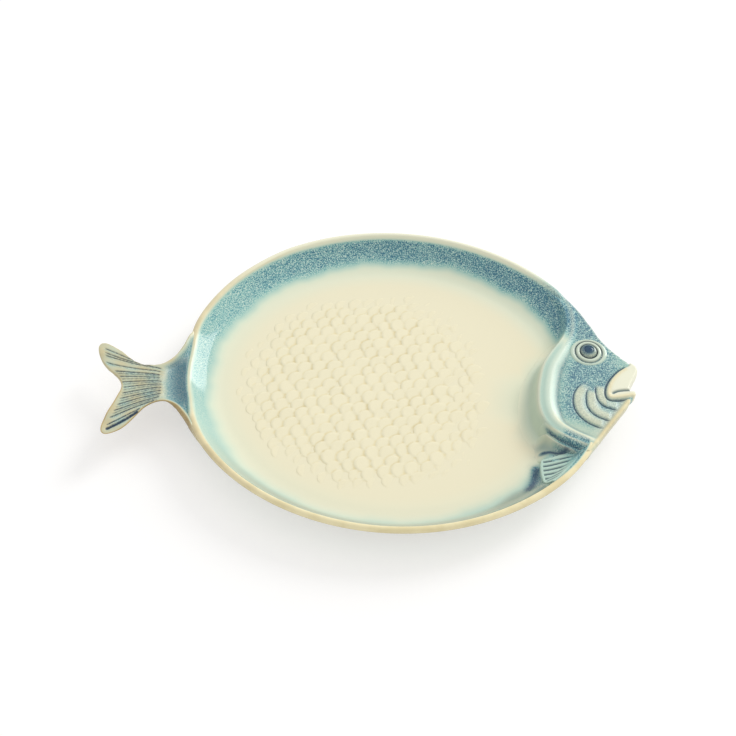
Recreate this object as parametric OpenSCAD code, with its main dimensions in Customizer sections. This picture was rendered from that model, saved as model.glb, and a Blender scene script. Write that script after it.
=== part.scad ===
// Round glazed stoneware serving dish in the shape of a fish: a tail stands out at one side of the
// rim and a head in relief at the other, and courses of scales cover the floor.
// The pieces are the ones that a potter forms and lutes together before the glaze is fired.

/* [Dish] */
// Outer diameter of the round dish
rim_d = 280; // [250:1:310]
// Height of the lip above the table
rim_h = 26; // [24:0.5:30]
// Thickness of the floor, the wall and the lip
wall_t = 5; // [4.5:0.25:7]
// Width of the sloping wall, from the edge of the floor to the middle of the lip
wall_run = 27; // [24:0.5:32]

/* [Foot] */
// Outer diameter of the foot ring
foot_d = 190; // [150:1:200]
// Width of the foot ring
foot_w = 8; // [5:0.5:14]
// Height of the foot ring
foot_h = 6; // [4:0.25:6.5]
// Bevel on the edges of the foot ring
foot_bevel = 1.2; // [0.4:0.1:2]

/* [Scales] */
// Spacing of the scales in a course
scale_pitch = 8.6; // [8:0.2:11]
// Spacing of the courses of scales along the fish
course_pitch = 9.2; // [8.4:0.2:9.8]
// Lean of the courses against the fish's middle line
course_lean = 20; // [0:1:30]
// Share of the scales' spacing by which each course is set over from the last
course_shift = 0.72; // [0.3:0.02:0.8]
// Radius of a scale's free edge
scale_r = 5.6; // [5.2:0.1:6]
// Height of a scale at its free edge
scale_h = 1.1; // [0.7:0.1:1.6]
// Height of a scale where it goes under the next course
scale_root_h = 0.3; // [0.2:0.05:0.5]
// Gap between two courses
scale_gap = 0.15; // [0.1:0.05:0.4]
// Bare floor between the scales and the wall
scale_margin = 14; // [12:1:26]
// Bare floor between the scales and the gill cover
gill_margin = 30; // [20:1:50]

/* [Fish] */
// Distance of the fish's middle line from the middle of the dish
axis_drop = 12; // [8:0.5:15]
// Depth of the head's and the tail's faces below the top of the lip
face_drop = 1.5; // [1:0.25:2.5]

/* [Tail] */
// Reach of the tail beyond the rim
tail_l = 51; // [44:1:60]
// Width of the tail from tip to tip
tail_w = 84; // [74:1:92]
// Width of the stalk between the dish and the tail
stalk_w = 36; // [32:1:44]
// How far the stalk lies above the fish's middle line, where it leaves the dish
stalk_rise = 3.2; // [0:0.2:5]
// Depth of the fork in the tail
fork = 16; // [8:1:20]
// Thickness of the tail at its root
tail_t = 7; // [6:0.25:8]
// Thickness of the tail at its tips
tail_tip_t = 5; // [4:0.25:5.5]
// Number of grooves between the fin rays
groove_count = 11; // [7:2:13]
// Angle between two grooves
groove_angle = 6; // [4:0.5:6.5]
// Radius of a groove at the tail's root
groove_root_r = 0.9; // [0.7:0.1:1.2]
// Radius of a groove at the tail's edge
groove_edge_r = 1.6; // [1.2:0.1:2.2]
// Depth of the hollow where the tail meets the lip
hollow_depth = 3; // [1:0.25:3.5]
// Radius of the hollow's round bottom
hollow_r = 7; // [6:0.25:8]
// Width of the ridge across the tail's root
ridge_w = 3.6; // [2.4:0.2:4.4]
// Height of the ridge across the tail's root
ridge_h = 1.2; // [0.6:0.1:2]

/* [Head] */
// Reach of the snout beyond the rim
snout_l = 19; // [14:1:26]
// Thickness of the part of the head that stands out beyond the rim
head_t = 7; // [6:0.25:8]
// How far the gill cover's crest lies in from the rim
gill_reach = 45; // [40:1:52]
// Width of the gill cover
gill_w = 11; // [8:0.5:13]
// Height of the gill cover above the face
gill_h = 3.5; // [2:0.25:5]
// Depth of the throat below the face
throat_drop = 5; // [3:0.25:6]
// Width of a cheek fold
fold_w = 5.4; // [4:0.2:6]
// Width of the crease beside a fold
crease_w = 1.3; // [0.8:0.1:2]
// Height of a fold above the face
fold_h = 1.8; // [1:0.1:2.6]
// Width of the upper lip
lip_w = 10; // [7:0.5:11]
// Width of the lower lip
lower_lip_w = 4; // [3:0.2:4.4]
// Height of the lips above the face
lip_h = 2.4; // [1.4:0.1:3]
// Width of the raised edge along the chin
chin_w = 4.5; // [3:0.25:5]
// Diameter of the eye with its socket
eye_d = 25; // [20:0.5:26]
// Height of the eye's ball above the face
eye_h = 3; // [2:0.1:4]
// Width of the gill flap's ridge
flap_w = 4; // [3:0.2:5]
// Height of the gill flap's ridge above the throat
flap_h = 2.6; // [1:0.1:3]

/* [Breast fin] */
// Length of the breast fin
fin_l = 25; // [20:0.5:27]
// Width of the breast fin at its free end
fin_w = 17; // [13:0.5:18]
// Thickness of the breast fin
fin_t = 2; // [1.5:0.1:3]
// Number of grooves in the breast fin
fin_grooves = 5; // [3:1:6]

/* [Hidden] */
$fn = 96;

// Colours of the glaze over the pieces
CREAM = [0.94, 0.91, 0.80];
AQUA = [0.74, 0.84, 0.80];
BLUE = [0.48, 0.62, 0.68];
PALE = [0.86, 0.87, 0.78];
TAN = [0.85, 0.77, 0.56];
DARK = [0.16, 0.24, 0.32];
CLAY = [0.80, 0.73, 0.62];

// The dish's section: floor and wall follow one middle curve, and the lip is a half round
rim_r = rim_d / 2;
floor_z = foot_h + wall_t;
lip_r = rim_r - wall_t / 2;
lip_z = rim_h - wall_t / 2;
floor_r = lip_r - wall_run;
wall_rise = rim_h - foot_h - wall_t;
wall_sweep = 2 * atan(wall_rise / wall_run);
wall_r = wall_run / sin(wall_sweep);
wall_c = [floor_r, foot_h + wall_t / 2 + wall_r];
arc_steps = 8;
inner_wall = arc(wall_c, wall_r - wall_t / 2, 270, 270 + wall_sweep, arc_steps);
outer_wall = arc(wall_c, wall_r + wall_t / 2, 270 + wall_sweep, 270, arc_steps);
lip_inside = arc([lip_r, lip_z], wall_t / 2, 90 + wall_sweep, 90, arc_steps / 2);
lip_outside = arc([lip_r, lip_z], wall_t / 2, 90, wall_sweep - 90, arc_steps);

// The dish stands off the origin so that the whole fish is centred on it
dish_x = (tail_l - snout_l) / 2;
axis_y = -axis_drop;
face_z = rim_h - face_drop;
throat_z = face_z - throat_drop;
past = 10;
spline_steps = 4;

// Points on an arc, from one angle to another
function arc(c, r, from, to, steps) =
    [for (i = [0 : steps]) let (a = from + (to - from) * i / steps) [c.x + r * cos(a), c.y + r * sin(a)]];

// One point of a curve that passes through b and c, with a and d as its outer neighbours
function curve_point(a, b, c, d, t) =
    0.5 * (2 * b + (c - a) * t + (2 * a - 5 * b + 4 * c - d) * t * t + (3 * b - a - 3 * c + d) * t * t * t);

// A smooth curve through all the points of a list
function curve(p, steps = spline_steps) =
    let (last = len(p) - 1)
    [for (i = [0 : last]) for (k = [0 : (i < last ? steps - 1 : 0)])
        i == last ? p[last]
        : curve_point(p[max(i - 1, 0)], p[i], p[i + 1], p[min(i + 2, last)], k / steps)];

// Unit vector to the left of a path at one of its points
function left_of(p, i) =
    let (d = p[min(i + 1, len(p) - 1)] - p[max(i - 1, 0)])
    [-d.y, d.x] / norm(d);

// A path moved sideways by a distance for each of its points
function beside(p, by) = [for (i = [0 : len(p) - 1]) p[i] + left_of(p, i) * by[i]];

function reversed(p) = [for (i = [len(p) - 1 : -1 : 0]) p[i]];

// A share of a path, by place along it
function stretch(p, from, to) = [for (i = [round(from * (len(p) - 1)) : round(to * (len(p) - 1))]) p[i]];

// A swell along a path: an end share, then full size in the middle
function swell(count, size, end_share) =
    [for (i = [0 : count - 1]) size * (end_share + (1 - end_share) * sin(180 * i / (count - 1)))];

// Distance from the dish's middle to the rim along X at a given Y
function rim_x(y) = sqrt(rim_r * rim_r - y * y);

// Places on the head, from the rim and the fish's middle line
function on_head(u, v) = [rim_r + u, axis_y + v];

// Triangles of a closed skin over rings of points, with flat ends
function skin_faces(rings, sides) = concat(
    [for (i = [0 : rings - 2]) for (k = [0 : sides - 1])
        let (a = i * sides + k, b = i * sides + (k + 1) % sides)
        each [[a, b, b + sides], [a, b + sides, a + sides]]],
    [for (k = [1 : sides - 2]) [0, k + 1, k]],
    [for (k = [1 : sides - 2]) let (e = (rings - 1) * sides) [e, e + k, e + k + 1]]);

// A clay roll laid on a flat face: half-round sections along a path
module roll(path, half_w, height, z) {
    steps = 6;
    points = [for (i = [0 : len(path) - 1]) for (k = [0 : steps])
        let (a = 180 * k / steps, p = path[i] + left_of(path, i) * half_w[i] * cos(a))
        [p.x, p.y, z + height[i] * sin(a)]];
    polyhedron(points, skin_faces(len(path), steps + 1));
}

// The space over the floor, up to the crest of the lip
module well() {
    rotate_extrude()
        polygon(concat([[0, floor_z]], inner_wall, lip_inside,
                       [[lip_r, rim_h + past], [0, rim_h + past]]));
}

// All that lies within the dish's outside
module dish_envelope() {
    rotate_extrude()
        polygon(concat([[0, rim_h]], lip_outside, outer_wall, [[0, foot_h]]));
}

// Outline of the head's face: forehead, lips and chin, closed along the gill cover,
// and how far it stands out from the rim where it leaves it
edge_out = 0.7;
head_edge = curve([
    [rim_x(axis_y + 68) + edge_out, axis_y + 68],
    [rim_x(axis_y + 53) + edge_out, axis_y + 53],
    on_head(-1.5, 41.5),
    on_head(5, 29),
    on_head(snout_l - 6.5, 19.5),
    on_head(snout_l, 11.5),
    on_head(snout_l - 3.3, 2.5),
    on_head(snout_l - 6.7, -3.5),
    on_head(snout_l - 8.2, -8.5),
    on_head(snout_l - 4.7, -12.5),
    on_head(snout_l - 8.5, -18.5),
    on_head(snout_l - 12.3, -23),
    on_head(-4, -37),
    [rim_x(axis_y - 52) + edge_out, axis_y - 52]]);
chin_line = stretch(head_edge, 11 / 13, 1);

// Crest of the gill cover, which leaves the lip at the forehead and comes back to it at the throat
gill_path = curve([
    [rim_x(axis_y + 69) - wall_t, axis_y + 69],
    on_head(-0.5 * gill_reach, 41),
    on_head(-0.76 * gill_reach, 19.5),
    on_head(-0.92 * gill_reach, 0),
    on_head(-gill_reach, -21),
    on_head(-0.97 * gill_reach, -32),
    on_head(-0.76 * gill_reach, -46),
    [rim_x(axis_y - 54) - 0.7 * wall_t, axis_y - 54]]);
gill_count = len(gill_path);
gill_half = swell(gill_count, gill_w / 2, 0.4);
gill_rise = swell(gill_count, gill_h, 0.15);
gill_inside = beside(gill_path, gill_half);
gill_outside = beside(gill_path, -gill_half);

module head_outline() {
    polygon(concat(head_edge, reversed(gill_inside)));
}

// The lip and the top of the wall are cut away where the head sits
module head_notch() {
    translate([0, 0, face_z - head_t])
        linear_extrude(head_t + past)
            head_outline();
}

module foot_ring() {
    inside = foot_d / 2 - foot_w;
    outside = foot_d / 2;
    color(CLAY)
        translate([dish_x, 0, 0])
            rotate_extrude()
                polygon([[inside + foot_bevel, 0], [outside - foot_bevel, 0], [outside, foot_bevel],
                         [outside, foot_h], [inside, foot_h], [inside, foot_bevel]]);
}

module dish() {
    color(AQUA)
        translate([dish_x, 0, 0])
            difference() {
                rotate_extrude()
                    polygon(concat([[0, floor_z]], inner_wall, lip_inside,
                                   lip_outside, outer_wall, [[0, foot_h]]));
                head_notch();
            }
}

// Centres of the scales of one course, about the middle of the field and along the lean of the
// courses: inside the field and clear of the gill cover
field_r = floor_r - scale_margin;
field_c = [-0.08 * field_r, -0.03 * field_r];
field_end = rim_r - gill_reach - gill_w / 2 - gill_margin;
course_count = ceil(2 * field_r / course_pitch);
function course_x(i) = (i - course_count / 2) * course_pitch;
function course_scales(i) =
    let (x = course_x(i),
         over = i * course_shift - floor(i * course_shift),
         most = ceil(field_r / scale_pitch))
    [for (k = [-most : most])
        let (p = [x, (k + over) * scale_pitch],
             along_fish = field_c.x + p.x * cos(course_lean) - p.y * sin(course_lean))
        if (norm(p) < field_r - scale_r && along_fish < field_end) p];

// One course: a row of round free edges, tucked under the free edges of the next
module course(i) {
    drop = atan((scale_h - scale_root_h) / (2 * scale_r));
    difference() {
        linear_extrude(scale_h)
            difference() {
                for (p = course_scales(i))
                    translate(p)
                        circle(scale_r, $fn = 24);
                for (p = course_scales(i + 1))
                    translate(p)
                        circle(scale_r + scale_gap, $fn = 24);
            }
        translate([course_x(i) - scale_r, -rim_r, scale_h])
            rotate([0, drop, 0])
                translate([-past, 0, 0])
                    cube([4 * past, rim_d, past]);
    }
}

module scale_field() {
    color(CREAM)
        translate([dish_x + field_c.x, field_c.y, floor_z])
            rotate([0, 0, course_lean])
                for (i = [0 : course_count])
                    if (len(course_scales(i)) > 0)
                        course(i);
}

// Places on the tail, from the rim outwards and from the fish's middle line
function on_tail(s, v) = [-rim_r - s, axis_y + stalk_rise * (1 - s / (1.4 * tail_l)) + v];

// One side of the tail, from the dish to the fork
function tail_side(side) = curve([
    [-rim_x(axis_y + side * (stalk_w / 2 + 22)), axis_y + side * (stalk_w / 2 + 22)],
    on_tail(2, side * (stalk_w / 2 + 7)),
    on_tail(10, side * (stalk_w / 2 + 0.8)),
    on_tail(0.36 * tail_l, side * stalk_w / 2),
    on_tail(0.6 * tail_l, side * (stalk_w / 2 + 5.5)),
    on_tail(tail_l - 6, side * (tail_w / 2 - 2.2)),
    on_tail(tail_l - 2, side * (tail_w / 2 - 0.4)),
    on_tail(tail_l, side * (tail_w / 2 - 4)),
    on_tail(tail_l - 1.5, side * (tail_w / 2 - 12)),
    on_tail(tail_l - 0.45 * fork, side * 0.4 * tail_w / 2),
    on_tail(tail_l - fork, 0)]);

// A groove that widens towards the tail's edge
module fin_groove(angle) {
    reach = tail_l + tail_w / 2;
    rise = groove_root_r / 2;
    translate([-rim_r + past, axis_y, face_z + rise])
        rotate([0, 0, 180 + angle])
            translate([2.8 * past, 0, 0])
                rotate([0, 90, 0])
                    cylinder(h = reach, r1 = groove_root_r, r2 = groove_edge_r, $fn = 24);
}

// The hollow along the lip, where glaze gathers
module lip_hollow() {
    translate([0, 0, face_z + hollow_r - hollow_depth])
        rotate_extrude()
            translate([rim_r + hollow_r / 2, 0])
                circle(hollow_r, $fn = 32);
}

module tail_fin() {
    color(BLUE)
        translate([dish_x, 0, 0])
            difference() {
                translate([0, 0, face_z - tail_t])
                    linear_extrude(tail_t)
                        polygon(concat(tail_side(1), reversed(tail_side(-1))));
                translate([0, rim_r, 0])
                    rotate([90, 0, 0])
                        linear_extrude(rim_d)
                            polygon([[-rim_r, face_z - tail_t], [-rim_r, face_z - tail_t - past],
                                     [-rim_r - tail_l, face_z - tail_t - past],
                                     [-rim_r - tail_l, face_z - tail_tip_t]]);
                for (k = [0 : groove_count - 1])
                    fin_groove((k - (groove_count - 1) / 2) * groove_angle);
                lip_hollow();
                dish_envelope();
            }
}

module tail_ridge() {
    half = 0.42 * stalk_w;
    steps = 10;
    place = 1.5 * hollow_r + ridge_w / 2;
    path = [for (k = [0 : steps]) on_tail(place, half * (2 * k / steps - 1))];
    color(PALE)
        translate([dish_x, 0, 0])
            roll(path, swell(len(path), ridge_w / 2, 0.4), swell(len(path), ridge_h, 0.3), face_z);
}

module head() {
    color(BLUE)
        translate([dish_x, 0, 0])
            union() {
                translate([0, 0, face_z - head_t])
                    linear_extrude(head_t)
                        head_outline();
                intersection() {
                    translate([0, 0, floor_z])
                        linear_extrude(face_z - head_t - floor_z)
                            head_outline();
                    well();
                }
            }
}

module chin_edge() {
    line = stretch(chin_line, 0, 0.9);
    path = beside(line, [for (p = line) -chin_w / 2 - 0.2]);
    color(TAN)
        translate([dish_x, 0, 0])
            roll(path, swell(len(path), chin_w / 2, 0.6), swell(len(path), face_drop, 0.5), face_z);
}

// The gill cover stands on the floor: a high round side to the well, and a low one to the cheek
module gill_cover() {
    steps = 4;
    foot = floor_z + 3;
    section = 2 * steps + 3;
    points = [for (i = [0 : gill_count - 1]) for (k = [0 : section - 1])
        let (side = left_of(gill_path, i) * gill_half[i],
             top = face_z + gill_rise[i],
             a = 90 * (k - 1) / steps,
             high = k <= steps + 1 ? face_z : foot,
             across = k == 0 ? 1 : k == section - 1 ? -1 : cos(a),
             up = k == 0 || k == section - 1 ? floor_z - 1 : high + (top - high) * sin(a),
             p = gill_path[i] + side * across)
        [p.x, p.y, up]];
    color(PALE)
        translate([dish_x, 0, 0])
            intersection() {
                polyhedron(points, skin_faces(gill_count, section));
                well();
            }
}

// The throat: a lower shelf between the gill cover and the lip
throat_from = 0.62;
throat_top = stretch(gill_outside, throat_from, 1);
throat_side = curve([
    [rim_x(axis_y - 106) - 2 * wall_t, axis_y - 106],
    on_head(-60, -90),
    on_head(-55, -70),
    on_head(-1.13 * gill_reach, -50),
    throat_top[0]]);

module throat() {
    color(BLUE)
        translate([dish_x, 0, 0])
            intersection() {
                translate([0, 0, floor_z - 1])
                    linear_extrude(throat_z - floor_z + 1)
                        polygon(concat(throat_side, throat_top,
                                       [[rim_r, axis_y - 52], [rim_r, axis_y - 110]]));
                well();
            }
}

module gill_flap() {
    line = stretch(gill_path, 0.7, 0.98);
    half = stretch(gill_half, 0.7, 0.98);
    path = beside(line, [for (w = half) -w - crease_w - flap_w / 2]);
    color(PALE)
        translate([dish_x, 0, 0])
            intersection() {
                roll(path, swell(len(path), flap_w / 2, 0.4), swell(len(path), flap_h, 0.4), throat_z);
                well();
            }
}

module breast_fin() {
    root = [rim_r - 30, axis_y - 65];
    turn = 195;
    spread = 8;
    color(AQUA)
        translate([dish_x, 0, throat_z])
            intersection() {
                translate(root)
                    rotate([0, 0, turn])
                        difference() {
                            linear_extrude(fin_t)
                                polygon(curve([[-past, -fin_w / 4], [fin_l / 2, -0.4 * fin_w],
                                               [fin_l - 2, -fin_w / 2], [fin_l, -0.3 * fin_w],
                                               [fin_l, 0.3 * fin_w], [fin_l - 2, fin_w / 2],
                                               [fin_l / 2, 0.4 * fin_w], [-past, fin_w / 4]]));
                            for (k = [1 : fin_grooves])
                                translate([0, 0, fin_t + groove_root_r / 2])
                                    rotate([0, 0, (k - (fin_grooves + 1) / 2) * spread])
                                        rotate([0, 90, 0])
                                            cylinder(h = 2 * fin_l, r1 = groove_root_r,
                                                     r2 = groove_edge_r, $fn = 24);
                        }
                translate([0, 0, -throat_z])
                    well();
            }
}

// Cheek folds: nested crescents behind the corner of the mouth, counted from the mouth
fold_c = on_head(0, -14);
fold_first = 9.4;
module cheek_fold(i, from, to) {
    path = arc(fold_c, fold_first + i * (fold_w + crease_w), from, to, 12);
    color(PALE)
        translate([dish_x, 0, 0])
            roll(path, swell(len(path), fold_w / 2, 0.3), swell(len(path), fold_h, 0.3), face_z);
}

module cheek_fold_inner() { cheek_fold(0, 138, 240); }
module cheek_fold_middle() { cheek_fold(1, 140, 243); }
module cheek_fold_outer() { cheek_fold(2, 140, 240); }

module upper_lip() {
    path = curve([on_head(2, -7.5), on_head(snout_l - 13, 0), on_head(snout_l - 2.5, 9)]);
    color(PALE)
        translate([dish_x, 0, 0])
            roll(path, swell(len(path), lip_w / 2, 0.25), swell(len(path), lip_h, 0.4), face_z);
}

module lower_lip() {
    path = curve([on_head(2, -13.4), on_head(snout_l - 11, -12), on_head(snout_l - 6.5, -11.5)]);
    color(PALE)
        translate([dish_x, 0, 0])
            roll(path, swell(len(path), lower_lip_w / 2, 0.5), swell(len(path), lip_h, 0.5), face_z);
}

// The eye: a socket, a ring and a ball with a sunk pupil, all turned about one axis, clear of the
// gill cover
eye_clear = 1.2;
eye_c = on_head(0.45 * gill_w - 0.655 * gill_reach + eye_d / 2 + eye_clear, 27.2);
eye_gap = eye_d / 36;
socket_in = eye_d / 2 - eye_d / 12;
ring_out = socket_in - eye_gap;
ring_in = ring_out - eye_d / 8;
ball_r = ring_in - eye_gap;
pupil_r = ball_r / 2;
pupil_drop = 0.6;

module at_eye() {
    translate([dish_x + eye_c.x, eye_c.y, face_z])
        rotate_extrude($fn = 64)
            children();
}

// Half-round section of a ring between two radii
module ring_section(inside, outside, height) {
    polygon(arc([0, 0], 1, 180, 0, arc_steps) * [[(outside - inside) / 2, 0], [0, height]]
            + [for (i = [0 : arc_steps]) [(outside + inside) / 2, 0]]);
}

module eye_socket() {
    color(AQUA)
        at_eye()
            ring_section(socket_in, eye_d / 2, eye_h / 4);
}

module eye_ring() {
    color(PALE)
        at_eye()
            ring_section(ring_in, ring_out, eye_h / 2);
}

// Height of the ball over the face at a distance from its middle
function ball_z(r) = eye_h * sqrt(1 - pow(r / ball_r, 2));

module eye_ball() {
    color(PALE)
        at_eye()
            polygon(concat([for (i = [0 : arc_steps])
                                let (r = ball_r + (pupil_r - ball_r) * i / arc_steps) [r, ball_z(r)]],
                           [[pupil_r, ball_z(pupil_r) - pupil_drop],
                            [0, ball_z(pupil_r) - pupil_drop], [0, 0]]));
}

module eye_pupil() {
    color(DARK)
        at_eye()
            polygon(concat([[0, ball_z(pupil_r) - pupil_drop], [pupil_r, ball_z(pupil_r) - pupil_drop]],
                           [for (i = [0 : arc_steps])
                                let (r = pupil_r * (1 - i / arc_steps)) [r, ball_z(r)]]));
}

foot_ring();
dish();
scale_field();
tail_fin();
tail_ridge();
head();
chin_edge();
throat();
gill_cover();
gill_flap();
breast_fin();
cheek_fold_outer();
cheek_fold_middle();
cheek_fold_inner();
upper_lip();
lower_lip();
eye_socket();
eye_ring();
eye_ball();
eye_pupil();
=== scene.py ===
import math
import random

import bpy
import numpy as np
from mathutils import Matrix, Vector


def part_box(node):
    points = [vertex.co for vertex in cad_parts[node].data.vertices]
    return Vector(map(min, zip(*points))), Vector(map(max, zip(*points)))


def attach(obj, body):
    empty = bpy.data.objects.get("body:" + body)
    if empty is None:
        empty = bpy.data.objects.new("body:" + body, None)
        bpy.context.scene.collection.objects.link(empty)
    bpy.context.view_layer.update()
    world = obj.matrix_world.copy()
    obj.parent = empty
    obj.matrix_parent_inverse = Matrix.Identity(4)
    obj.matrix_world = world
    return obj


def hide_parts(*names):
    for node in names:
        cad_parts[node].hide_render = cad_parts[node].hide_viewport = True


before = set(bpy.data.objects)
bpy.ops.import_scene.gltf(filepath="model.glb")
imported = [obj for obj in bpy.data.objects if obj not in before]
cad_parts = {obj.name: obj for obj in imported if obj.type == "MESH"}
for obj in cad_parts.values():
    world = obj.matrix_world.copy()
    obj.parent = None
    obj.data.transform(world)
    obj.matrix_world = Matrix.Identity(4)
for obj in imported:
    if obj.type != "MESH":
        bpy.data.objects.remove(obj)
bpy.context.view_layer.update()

# Foot ring. A ring of bare stoneware under the floor, thrown with the dish and wiped clean of
# glaze so that it doesn't stick to the kiln shelf. The plate stands on it.
foot_low, foot_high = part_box("foot_ring")
dish_mid = (foot_low + foot_high) / 2
dish_mid.z = 0
metre = 1000
weld = 0.002


def turned(name, section, steps):
    """A closed section, in millimetres out from the axis and up, turned once round the dish's axis."""
    bpy.ops.object.select_all(action="DESELECT")
    bpy.ops.mesh.primitive_circle_add(vertices=len(section), radius=1)
    piece = bpy.context.object
    piece.name = name
    for point, (out, up) in zip(piece.data.vertices, section):
        point.co = (out, 0, up)
    bpy.ops.object.mode_set(mode="EDIT")
    bpy.ops.mesh.select_all(action="SELECT")
    bpy.ops.mesh.spin(steps=steps, angle=math.tau, center=(0, 0, 0), axis=(0, 0, 1))
    bpy.ops.mesh.select_all(action="SELECT")
    bpy.ops.mesh.remove_doubles(threshold=weld)
    bpy.ops.mesh.delete_loose(use_verts=True, use_edges=True, use_faces=False)
    bpy.ops.mesh.select_all(action="SELECT")
    bpy.ops.mesh.normals_make_consistent(inside=False)
    bpy.ops.object.mode_set(mode="OBJECT")
    return piece


def set_down(piece, finish):
    """Brings a piece from millimetres about the dish's axis to its place, with its finish on it."""
    piece.data.transform(Matrix.Translation(dish_mid) @ Matrix.Scale(1 / metre, 4))
    piece.data.shade_smooth()
    piece.data.materials.clear()
    piece.data.materials.append(finish)
    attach(piece, "root")


def tint(red, green, blue):
    """A colour written in steps of 0 to 255, as the shader wants it."""
    steps = [c / 255 for c in (red, green, blue)]
    return [c / 12.92 if c <= 0.04045 else ((c + 0.055) / 1.055) ** 2.4 for c in steps] + [1]


def put(tree, kind, inputs=(), **settings):
    """One shader node: an input given a socket is linked to it, and any other value is set."""
    made = tree.nodes.new("ShaderNode" + kind)
    for key, value in settings.items():
        setattr(made, key, value)
    for key, value in dict(inputs).items():
        if isinstance(value, bpy.types.NodeSocket):
            tree.links.new(value, made.inputs[key])
        else:
            made.inputs[key].default_value = value
    return made


def noise(tree, place, scale, detail, rough=0.5):
    """Soft uneven patches all over a piece."""
    inputs = {"Vector": place, "Scale": scale, "Detail": detail, "Roughness": rough}
    return put(tree, "TexNoise", inputs).outputs["Fac"]


def wash(tree, share, under, over):
    """One colour washed over another by a share."""
    inputs = {0: share, 6: under, 7: over}
    return put(tree, "Mix", inputs, data_type="RGBA", clamp_factor=True).outputs[2]


def rise(tree, value, low, high, bottom=0.0, top=1.0):
    """A smooth rise between two values."""
    inputs = {"Value": value, "From Min": low, "From Max": high, "To Min": bottom, "To Max": top}
    return put(tree, "MapRange", inputs, interpolation_type="SMOOTHSTEP").outputs["Result"]


def new_finish(name):
    """An empty material with its shader, and places on the piece in millimetres from the dish's middle."""
    finish = bpy.data.materials.new(name)
    finish.use_nodes = True
    tree = finish.node_tree
    tree.nodes.clear()
    shader = put(tree, "BsdfPrincipled")
    put(tree, "OutputMaterial", {"Surface": shader.outputs["BSDF"]})
    place = put(tree, "TexCoord").outputs["Object"]
    shift = [-metre * c for c in dish_mid]
    place = put(tree, "Mapping", {"Vector": place, "Location": shift, "Scale": (metre, metre, metre)})
    return finish, tree, shader, place.outputs["Vector"]


def dress(tree, shader, colour, height, strength, depth, roughness):
    """Gives a shader its colour, its fine relief and its gloss."""
    bump = put(tree, "Bump", {"Strength": strength, "Distance": depth, "Height": height})
    tree.links.new(colour, shader.inputs["Base Color"])
    tree.links.new(bump.outputs["Normal"], shader.inputs["Normal"])
    shader.inputs["Roughness"].default_value = roughness


bare_clay, tree, shader, place = new_finish("bare_clay")
grain = noise(tree, place, 2.2, 4, 0.7)
patch = noise(tree, place, 0.08, 2)
clay = wash(tree, rise(tree, patch, 0.3, 0.7), tint(214, 196, 164), tint(196, 172, 138))
clay = wash(tree, rise(tree, grain, 0.6, 0.72), clay, tint(132, 104, 78))
dress(tree, shader, clay, grain, strength=0.5, depth=0.0003, roughness=0.85)

foot_section = [(88.4, 0), (93.6, 0), (94.4, 0.25), (94.9, 0.8), (95, 1.6), (95, 6.6),
                (87, 6.6), (87, 1.6), (87.1, 0.8), (87.6, 0.25)]
foot_ring = turned("foot_ring", foot_section, 160)
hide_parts("foot_ring")
set_down(foot_ring, bare_clay)

# Dish. A round dish with a flat floor, a curved wall and a rounded lip, in cream stoneware under a
# blue glaze that runs: thick and speckled on the wall, thin and tan where it leaves the lip.
half_wall = 2.2
floor_up, floor_under = 11, 6
rim_out, rim_up = 139.9, 26
bend_out = 110
lip_out, lip_up = rim_out - half_wall, rim_up - half_wall
core_up = floor_up - half_wall
sweep = 2 * math.degrees(math.atan((lip_up - core_up) / (lip_out - bend_out)))
wall_r = (lip_out - bend_out) / math.sin(math.radians(sweep))
bend_up = core_up + wall_r
inside_reach = 25.3


def arc(radius, start, stop, steps, middle=(bend_out, bend_up)):
    """Points along an arc, about the middle of the wall's bend if no other is given."""
    turns = [math.radians(start + (stop - start) * i / steps) for i in range(steps + 1)]
    return [(middle[0] + radius * math.cos(a), middle[1] + radius * math.sin(a)) for a in turns]


def ease(low, high, value):
    """A smooth rise from 0 to 1 between two values."""
    share = np.clip((value - low) / (high - low), 0, 1)
    return share * share * (3 - 2 * share)


def between(low, full, fade, high, value):
    """A smooth rise from 0 to 1, and a fall to 0 again further on."""
    return ease(low, full, value) * (1 - ease(fade, high, value))


def bell(value, width):
    """A soft hump round zero."""
    return np.exp(-(value / width) ** 2)


def most(*layers):
    """The thickest of some layers at each place."""
    thickest = layers[0]
    for layer in layers[1:]:
        thickest = np.maximum(thickest, layer)
    return thickest


def read_off(value, rows, column=1):
    """Reads one column of a table against its first, in between its rows too."""
    rows = np.array(rows, float)
    return np.interp(value, rows[:, 0], rows[:, column])


def wall_up(out, radius, reach):
    """Height of the wall's curve of one radius, at a distance from the dish's middle."""
    past_bend = np.clip(out - bend_out, 0, reach)
    return bend_up - np.sqrt(np.maximum(radius ** 2 - past_bend ** 2, 0))


def dish_top(out):
    """Height of the dish's upper face at a distance from its middle, up to its lip."""
    return wall_up(out, wall_r - half_wall, inside_reach)


def dish_core(out):
    """Height of the middle of the dish's floor and wall."""
    return wall_up(out, wall_r, lip_out - bend_out)


path_steps = 6


def smooth_path(points, steps=path_steps):
    """A smooth curve through all of the points."""
    points = np.array(points, float)
    ends = np.vstack([2 * points[0] - points[1], points, 2 * points[-1] - points[-2]])
    path = []
    for a, b, c, d in zip(ends, ends[1:], ends[2:], ends[3:]):
        for t in np.arange(steps) / steps:
            bow = 2 * a - 5 * b + 4 * c - d + t * (3 * (b - c) + d - a)
            path.append(b + 0.5 * t * (c - a + t * bow))
    return np.array(path + [points[-1]])


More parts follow.
